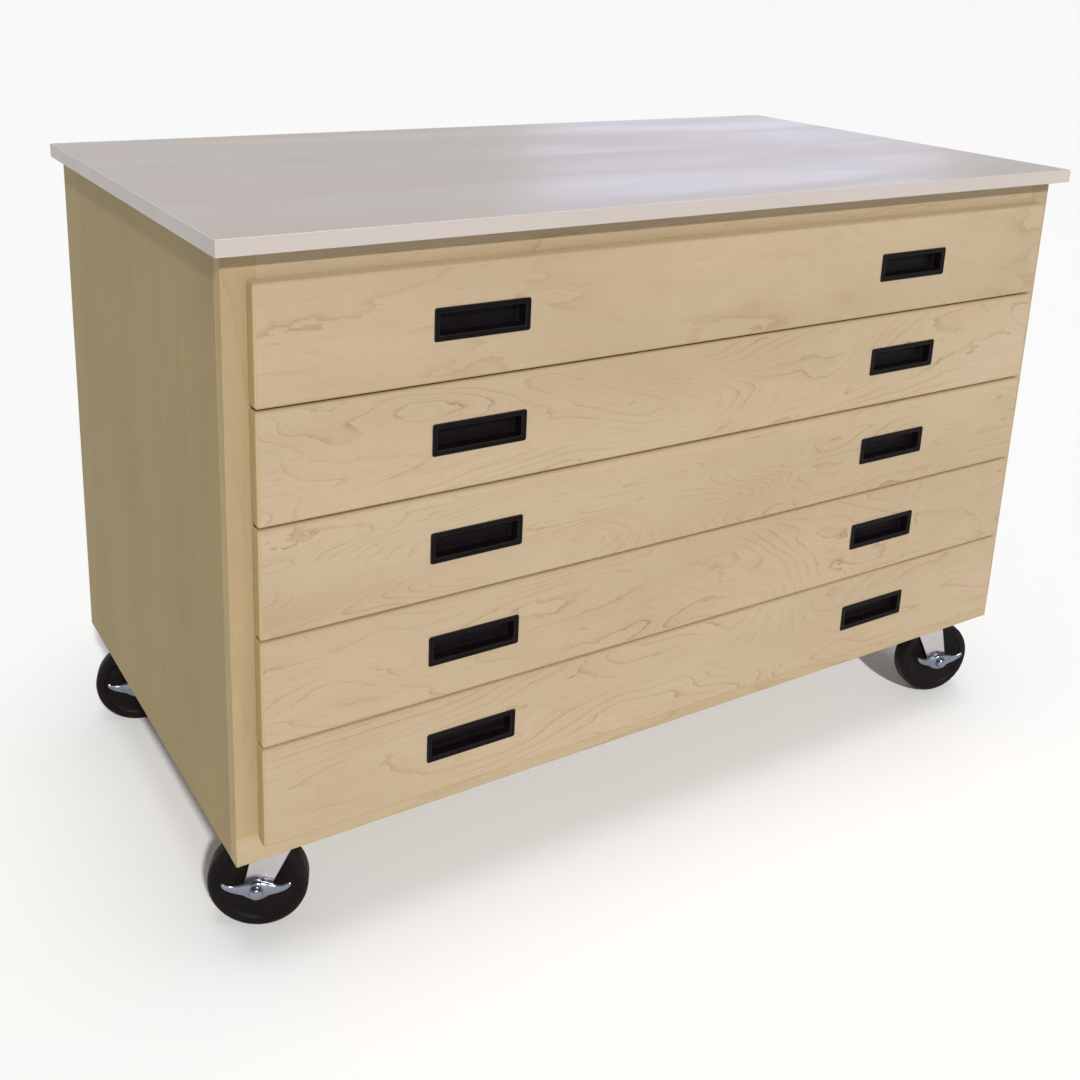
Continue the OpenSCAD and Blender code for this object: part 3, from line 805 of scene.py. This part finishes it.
level_lean = (0, 0, 0)
any_turn = 6.0
web_gap = 2.0 * MM
ball_in = 6.3 * MM
cage_half_w = 2.0 * MM
cage_half_t = 0.35 * MM
cage_over = 4 * MM
screw_shares = (0.06, 0.33, 0.63, 0.93)
cabinet_node = "slide_cabinet_members"
cabinet_low, cabinet_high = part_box(cabinet_node)
for n in ROWS:
    drawer = f"drawer_{n}"
    drawer_node = drawer + "_slides"
    middle = f"middle_{n}"
    middle_node = "slide_" + middle
    low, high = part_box(drawer_node)
    middle_low, middle_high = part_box(middle_node)
    box_low, box_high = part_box(drawer + "_box")
    z = (low.z + high.z) / 2
    ball_ys = [middle_low.y + (9 + 5.5 * i) * MM for i in range(12)]
    ball_rows = (("outer", 18.85 * MM, "cabinet", cabinet_node), ("inner", 13.95 * MM, middle, middle_node))
    ball_places = {"outer": [], "inner": []}
    for name, wall, inward, drawer_web in (
        ("left", cabinet_low.x, 1, box_low.x),
        ("right", cabinet_high.x, -1, box_high.x),
    ):
        middle_web = wall + inward * web_gap
        for kind, line, web, way, near_y, far_y, body, node in (
            ("cabinet", cabinet_line, wall, inward, cabinet_low.y, cabinet_high.y, "cabinet", cabinet_node),
            ("middle", middle_line, middle_web, inward, middle_low.y, middle_high.y, middle, middle_node),
            ("drawer", drawer_line, drawer_web, -inward, low.y, high.y, drawer, drawer_node),
        ):
            strip = slab([rolled(line, web, way, z)], near_y, far_y, "XZY", (0.15, 0.15), steps=1)
            piece(f"slide_{n}_{kind}_{name}", strip, body, [slide_zinc] * 2, node)
        ball_x = wall + inward * ball_in
        for kind, ball_z, body, node in ball_rows:
            for level, row_z in (("low", z - ball_z), ("high", z + ball_z)):
                ball_places[kind] += [(ball_x, y, row_z) for y in ball_ys]
                near = (ball_x - cage_half_w, row_z - cage_half_t)
                far = (ball_x + cage_half_w, row_z + cage_half_t)
                ends = (ball_ys[0] - cage_over, ball_ys[-1] + cage_over)
                cage = slab([rectangle(near, far)], *ends, "XZY", (0.1, 0.1), steps=1)
                piece(f"cage_{n}_{kind}_{level}_{name}", cage, body, [slide_zinc] * 2, node)
        screw_x = drawer_web - inward * 2.1 * MM
        screw_places = [(screw_x, low.y + share * (high.y - low.y), z) for share in screw_shares]
        copies(
            f"slide_{n}_screws_{name}", screw_places, slide_screw, (0, -inward * QUARTER, 0), any_turn,
            slide_zinc, drawer, "slide_steel", drawer_node, seed=n,
        )
    for kind, ball_z, body, node in ball_rows:
        copies(
            f"slide_{n}_{kind}_balls", ball_places[kind], ball, level_lean, 0.0,
            ball_steel, body, "slide_steel", node,
        )

back_screw = small_shape("back_screw", screw_head(4.0 * MM, 1.6 * MM, 2.1 * MM))
low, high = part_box("back_panel")
screw_in = 14 * MM
screw_y = high.y - 0.4 * MM
screw_xs = [low.x + screw_in + i / 8 * (high.x - low.x - 2 * screw_in) for i in range(9)]
back_places = [(x, screw_y, z) for x in screw_xs for z in (low.z + 10 * MM, high.z - screw_in)]
copies(
    "back_panel_screws", back_places, back_screw, (-QUARTER, 0, 0), any_turn,
    slide_zinc, "cabinet", "slide_steel", "back_panel",
)


# --- casters --------------------------------------------------------------------
# Swivel casters with a pressed zinc fork, a solid black wheel on a bolt, and a
# polished winged lever on the bolt's outer end that clamps the wheel.

caster_zinc = plated("caster_zinc", (0.39, 0.34, 0.355), 0.27, (60.0, 60.0, 500.0), (0.33, 0.29, 0.28))
# The lever and the axle's nut and cap are polished; their dark bluish tone and dark blue patches are painted
# reflections of darker surroundings.
lever_metal_painted_reflections = plated("lever_bright_painted_reflections", (0.27, 0.30, 0.37), 0.17, (140.0, 140.0, 140.0), (0.03, 0.045, 0.10))

rubber = Finish("wheel_rubber", Roughness=0.46, Specular_IOR_Level=0.08)
scuff = rubber.noise(rubber.stretch(45.0), detail=5.0, rough=0.65)
pits = rubber.noise(rubber.stretch(900.0))
black = rubber.mix(rubber.span(scuff, 0.35, 0.7), (0.0045, 0.003, 0.003), (0.008, 0.006, 0.006))
rubber.colour(rubber.mix(rubber.maths("MULTIPLY", rubber.edge_wear_and_highlight(), 0.5), black, (0.022, 0.019, 0.018)))
rubber.roughness(rubber.span(scuff, 0.3, 0.7, 0.38, 0.58))
rubber.bump(pits, 0.00012, 0.5)


def turned(section, segments, axis="Y", wear=()):
    """A solid turned about an axis, from (radius, along) points that run round its section."""
    shell = bmesh.new()
    crest = shell.verts.layers.float.new("edge")
    rings = []
    for i, (radius, along) in enumerate(section):
        ring = []
        for step in range(segments if radius > 0 else 1):
            turn = step / segments * 2 * math.pi
            a, b, c = radius * math.cos(turn) * MM, radius * math.sin(turn) * MM, along * MM
            vertex = shell.verts.new((a, c, b) if axis == "Y" else (a, b, c))
            vertex[crest] = wear[i] if wear else 0.0
            ring.append(vertex)
        rings.append(ring)
    for lower, upper in zip(rings, rings[1:] + rings[:1]):
        for i in range(segments):
            near_side = [lower[i % len(lower)], lower[(i + 1) % len(lower)]]
            far_side = [upper[(i + 1) % len(upper)], upper[i % len(upper)]]
            face_corners = list(dict.fromkeys(near_side + far_side))
            if len(face_corners) > 2:
                shell.faces.new(face_corners).smooth = True
    bmesh.ops.recalc_face_normals(shell, faces=shell.faces)
    return shell


def lofted(sections):
    """A closed skin over a run of sections, each a list of (x, y, z, wear) in millimetres."""
    shell = bmesh.new()
    crest = shell.verts.layers.float.new("edge")
    rings = []
    for section in sections:
        ring = []
        for x, y, z, worn in section:
            vertex = shell.verts.new((x * MM, y * MM, z * MM))
            vertex[crest] = worn
            ring.append(vertex)
        rings.append(ring)
    return skinned(shell, rings)


joints = {joint["name"]: joint for joint in frame["joints"]}
corners = ("fl", "fr", "bl", "br")
sides_of_middle = (-1, 1)
bolt_spread_x, bolt_spread_y = 37.5 * MM, 22 * MM
wheel_low, wheel_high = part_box("wheel_fl")
wheel_r = (wheel_high.z - wheel_low.z) / 2 / MM
body_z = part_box("bottom_panel")[0].z / MM

# Sections of turned parts are (radius, place along the axle or above the floor), in mm.
wheel_section = [
    (6.1, -17.0), (9.6, -17.0), (9.9, -16.6), (12.9, -16.6), (13.3, -17.0), (13.9, -16.6), (14.4, -14.4),
    (15.6, -13.4), (19.0, -13.1), (40.0, -13.1), (46.5, -13.5), (49.4, -14.8), (50.5, -16.0), (57.5, -16.0),
    (60.3, -15.1), (62.3, -12.9), (63.3, -9.4), (wheel_r, -4.0),
]
wheel_section += [(radius, -along) for radius, along in wheel_section[::-1]]
wheel_wear = [0.5 if radius > 60 else 0.0 for radius, along in wheel_section]

# Half of the fork's strip, from the foot of a leg up to the middle of the crown:
# (y, z, lean of its outer face, nearest x, furthest x), measured from the axle.
# The foot is round, the leg leans back as it rises, and a bend leads into the crown.
crown_z = body_z - 11.4 - wheel_r
leg_y = 19.7
leg_top = crown_z + 1.3
lean_near, lean_far = 38.5, 17.5
bend = 5.0
foot_r = 16.5
strip_t = 2.6
half_strip = []
for step in range(7):
    turn = math.radians(12 + 78 * step / 6)
    half_w = foot_r * math.sin(turn)
    half_strip.append((leg_y, -foot_r * math.cos(turn), 0.0, -half_w, half_w))
for step in range(1, 5):
    share = step / 4 * (crown_z - bend) / leg_top
    half_strip.append((leg_y, share * leg_top, 0.0, -foot_r - share * lean_near, foot_r - share * lean_far))
for step in range(1, 6):
    turn = step / 5 * QUARTER
    y = leg_y - bend + bend * math.cos(turn)
    z = crown_z - bend + bend * math.sin(turn)
    half_strip.append((y, z, turn, -foot_r - lean_near, foot_r - lean_far))


def strip_section(y, z, turn, near, far):
    """The strip's section at one station, with its long edges eased."""
    half = strip_t / 2
    section = []
    for x, depth, worn in (
        (near, -half + 0.5, 0.7), (near + 0.5, -half, 0.7), (far - 0.5, -half, 0.7), (far, -half + 0.5, 0.7),
        (far, half - 0.5, 1.0), (far - 0.5, half, 1.0), (near + 0.5, half, 1.0), (near, half - 0.5, 1.0),
    ):
        section.append((x, y + depth * math.cos(turn), z + depth * math.sin(turn), worn))
    return section


def lever_wing_section(x, low, high, middle, half):
    """An oval section of the lever at one place along its length."""
    section = []
    for step in range(16):
        turn = step / 16 * 2 * math.pi
        across, along = math.cos(turn), math.sin(turn)
        y = middle + half * math.copysign(abs(across) ** 0.8, across)
        z = (low + high) / 2 + (high - low) / 2 * math.copysign(abs(along) ** 0.8, along)
        section.append((x, y, z, 0.6 * abs(along) ** 4))
    return section


# One wing of the lever, from its middle out to its tip, measured from the axle:
# (place along it, bottom, top, middle of its thickness, half its thickness).
half_wing = [
    (0, -14.4, 13.0, -26.2, 4.6), (5, -13.7, 13.0, -26.2, 4.5), (9, -11.7, 12.4, -26.1, 4.3),
    (12, -9.4, 11.7, -26.1, 4.0), (16, -7.2, 10.4, -26.0, 3.4), (22, -5.5, 8.6, -26.1, 2.9),
    (28, -3.5, 7.8, -26.4, 2.6), (34, -0.6, 8.8, -26.9, 2.4), (39, 2.8, 11.2, -27.4, 2.3),
    (42, 6.4, 12.4, -27.7, 2.0), (43.2, 8.6, 11.8, -27.8, 1.1),
]
wing = [(-x, low, high, middle, half) for x, low, high, middle, half in half_wing[:0:-1]] + half_wing


def caster_piece(kind, shell, body, materials, node, place, crisp_from=32):
    """One piece of the caster in hand, with every arris sharper than an angle kept crisp."""
    made = piece(f"caster_{kind}_{corner}", shell, body, materials, node, place)
    made.data.set_sharp_from_angle(angle=math.radians(crisp_from))


for corner in corners:
    swivel = Vector(joints["swivel_" + corner]["pos_m"])
    hub = Vector(joints["roll_" + corner]["pos_m"])
    axle = Vector(joints["roll_" + corner]["axis"]).normalized()
    lever_low, lever_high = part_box("brake_lever_" + corner)
    if ((lever_low + lever_high) / 2 - hub).dot(axle) > 0:
        axle = -axle
    trail = Vector((hub.x - swivel.x, hub.y - swivel.y, 0)).normalized()
    at_hub = Matrix.Translation(hub) @ Matrix((trail, axle, Vector((0, 0, 1)))).transposed().to_4x4()
    at_swivel = Matrix.Translation((swivel.x, swivel.y, 0))
    fork_body = "fork_" + corner
    wheel_body = "wheel_" + corner

    wheel = turned(wheel_section, 96, wear=wheel_wear)
    caster_piece("wheel", wheel, wheel_body, [rubber.material], wheel_body, at_hub)

    strip = half_strip + [(-y, z, math.pi - turn, near, far) for y, z, turn, near, far in half_strip[::-1]]
    fork = lofted([strip_section(*station) for station in strip])
    caster_piece("fork", fork, fork_body, [caster_zinc], fork_body, at_hub)
    crown = crown_z + wheel_r
    cup = turned([
        (6.1, crown + 1.2), (27.0, crown + 1.2), (28.2, crown + 1.6), (28.6, crown + 2.8),
        (28.2, crown + 3.7), (27.2, crown + 3.4), (26.0, crown + 2.2), (6.1, crown + 1.8),
    ], 64, "Z")
    caster_piece("cup", cup, fork_body, [caster_zinc], fork_body, at_swivel)

    nut = slab([around(10.8 * MM, 6)], 21.9 * MM, 28.4 * MM, "XZY", (0.3, 0.9), steps=3)
    washer = turned([(6.2, 21.0), (12.0, 21.0), (12.4, 21.3), (12.0, 21.9), (6.2, 21.9)], 40)
    bolt_end = turned([(0, 27.0), (5.6, 27.0), (5.6, 30.6), (4.9, 31.3), (0, 31.3)], 24)
    cap_seat = turned([
        (6.2, -31.8), (9.6, -31.8), (9.9, -31.4), (9.9, -30.9), (9.6, -30.7), (6.2, -30.7),
    ], 40)
    cap = turned([
        (0, -31.5), (8.4, -31.5), (8.6, -33.2), (8.0, -34.8), (6.6, -36.2), (4.6, -37.2), (2.3, -37.7),
        (0, -37.8),
    ], 40)
    axle_parts = together(washer, nut, bolt_end, cap_seat, cap)
    caster_piece("axle", axle_parts, fork_body, [lever_metal_painted_reflections] * 2, "axle_" + corner, at_hub)

    boss = turned([
        (6.1, -21.4), (12.8, -21.4), (14.0, -22.2), (14.3, -24.5), (14.0, -27.0), (12.6, -29.2),
        (10.9, -30.3), (6.1, -30.4),
    ], 48)
    lever = together(lofted([lever_wing_section(*station) for station in wing]), boss)
    lever_node = "brake_lever_" + corner
    caster_piece("lever", lever, "brake_" + corner, [lever_metal_painted_reflections], lever_node, at_hub, 50)

    plate_z = body_z * MM
    bolt_slots = [
        round_rectangle((x * bolt_spread_x, y * bolt_spread_y), 13 * MM, 8.8 * MM, 4.2 * MM, hole=True)
        for x in sides_of_middle for y in sides_of_middle
    ]
    plate_outline = round_rectangle((0, 0), 92 * MM, 60 * MM, 6 * MM)
    plate = slab([plate_outline, *bolt_slots], plate_z - 3 * MM, plate_z - 0.02 * MM, "XYZ", (0.6, 0.2))
    caster_piece("plate", plate, "cabinet", [caster_zinc] * 2, "caster_plates", at_swivel)
    race = turned([
        (6.1, body_z - 3.2), (31.0, body_z - 3.2), (30.2, body_z - 3.6), (28.6, body_z - 5.0),
        (27.4, body_z - 6.3), (26.2, body_z - 6.4), (24.0, body_z - 5.2), (6.1, body_z - 5.0),
    ], 64, "Z")
    kingpin = turned([
        (0, body_z - 5.5), (5.8, body_z - 5.5), (5.8, body_z - 13.6), (9.6, body_z - 13.8),
        (10.0, body_z - 14.4), (9.2, body_z - 16.2), (6.4, body_z - 17.3), (0, body_z - 17.7),
    ], 32, "Z")
    bearing = together(race, kingpin)
    caster_piece("race", bearing, "cabinet", [caster_zinc], "caster_plates", at_swivel)
    race_z = (body_z - 7.5) * MM
    race_places = [(swivel.x + x, swivel.y + y, race_z) for x, y in around(24.4 * MM, 24)]
    copies(
        "caster_balls_" + corner, race_places, ball, level_lean, 0.0,
        ball_steel, fork_body, "caster_steel", fork_body,
    )

bolt_head = slab([around(7.5 * MM, 6)], 1.3 * MM, 6.2 * MM, "XYZ", (0.1, 0.8), steps=3)
bolt_washer = slab([around(7.9 * MM, 24)], 0, 1.3 * MM, "XYZ", (0.1, 0.3))
plate_bolt = small_shape("plate_bolt", together(bolt_head, bolt_washer))
bolt_z = (body_z - 3.0) * MM
bolt_places = []
for corner in corners:
    plate_x, plate_y = joints["swivel_" + corner]["pos_m"][:2]
    bolt_places += [
        (plate_x + x * bolt_spread_x, plate_y + y * bolt_spread_y, bolt_z)
        for x in sides_of_middle for y in sides_of_middle
    ]
copies(
    "caster_bolt_heads", bolt_places, plate_bolt, (math.pi, 0, 0), any_turn,
    caster_zinc, "cabinet", "caster_steel", "caster_bolts",
)

for shape in (slide_screw, ball, back_screw, plate_bolt):
    bpy.data.objects.remove(shape)
